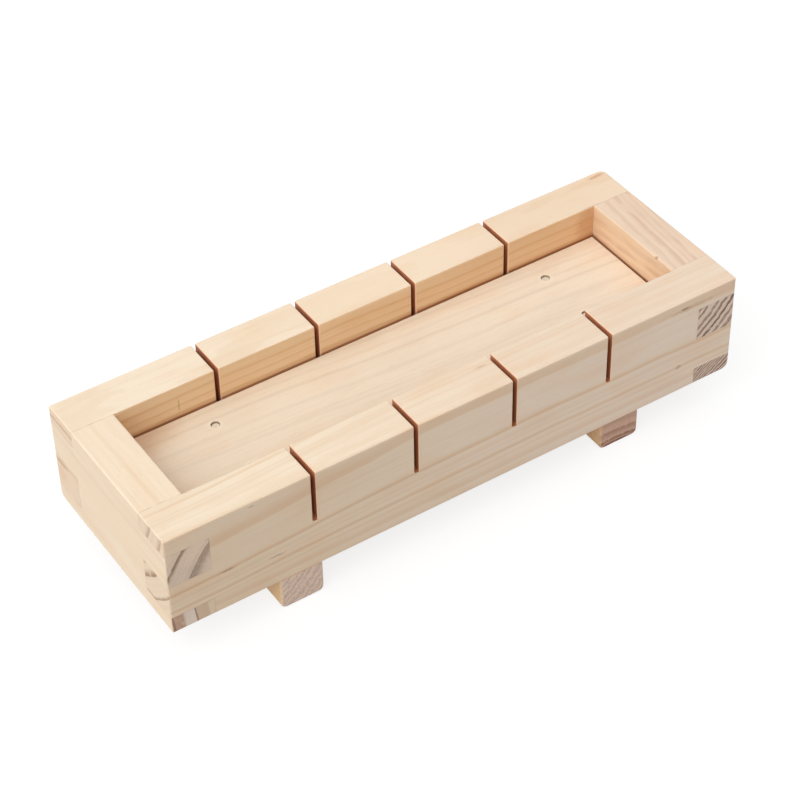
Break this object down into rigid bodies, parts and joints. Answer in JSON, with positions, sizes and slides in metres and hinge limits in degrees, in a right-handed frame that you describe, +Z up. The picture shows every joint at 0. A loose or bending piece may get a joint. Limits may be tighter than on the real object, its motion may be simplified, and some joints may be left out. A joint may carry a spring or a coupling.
{
  "type": "sushi rice mold press",
  "caption": "Wooden box press for sushi rice: slotted finger-jointed frame on a footed base, with a nailed press plate that lifts out and turns over.",
  "frame": {"origin": "centre of the footprint, on the surface that the feet stand on", "axes": "+X along the length, +Y from the front rail to the back rail, +Z up"},
  "size_m": [0.208, 0.07, 0.05],
  "materials": {
    "frame_rails": "plain sawn softwood, planed and sanded, unfinished",
    "frame_ends": "plain sawn softwood, planed and sanded, unfinished",
    "boards": "thin softwood board, planed and sanded, unfinished",
    "bars": "square softwood bar, sawn ends, unfinished",
    "brads": "bright steel"
  },
  "bodies": {
    "base": {"base_board": "boards", "left_foot_bar": "bars", "right_foot_bar": "bars", "left_foot_nails": "brads", "right_foot_nails": "brads"},
    "frame": {"front_rail": "frame_rails", "back_rail": "frame_rails", "left_end_board": "frame_ends", "right_end_board": "frame_ends"},
    "press": {"press_board": "boards", "left_handle_bar": "bars", "right_handle_bar": "bars", "left_handle_nails": "brads", "right_handle_nails": "brads"}
  },
  "joints": [
    {"name": "frame_lift", "type": "slide", "parent": "base", "child": "frame", "axis": [0, 0, 1], "range_m": [0, 0.045]},
    {"name": "press_lift", "type": "slide", "parent": "base", "child": "press", "axis": [0, 0, 1], "range_m": [0, 0.08]}
  ]
}
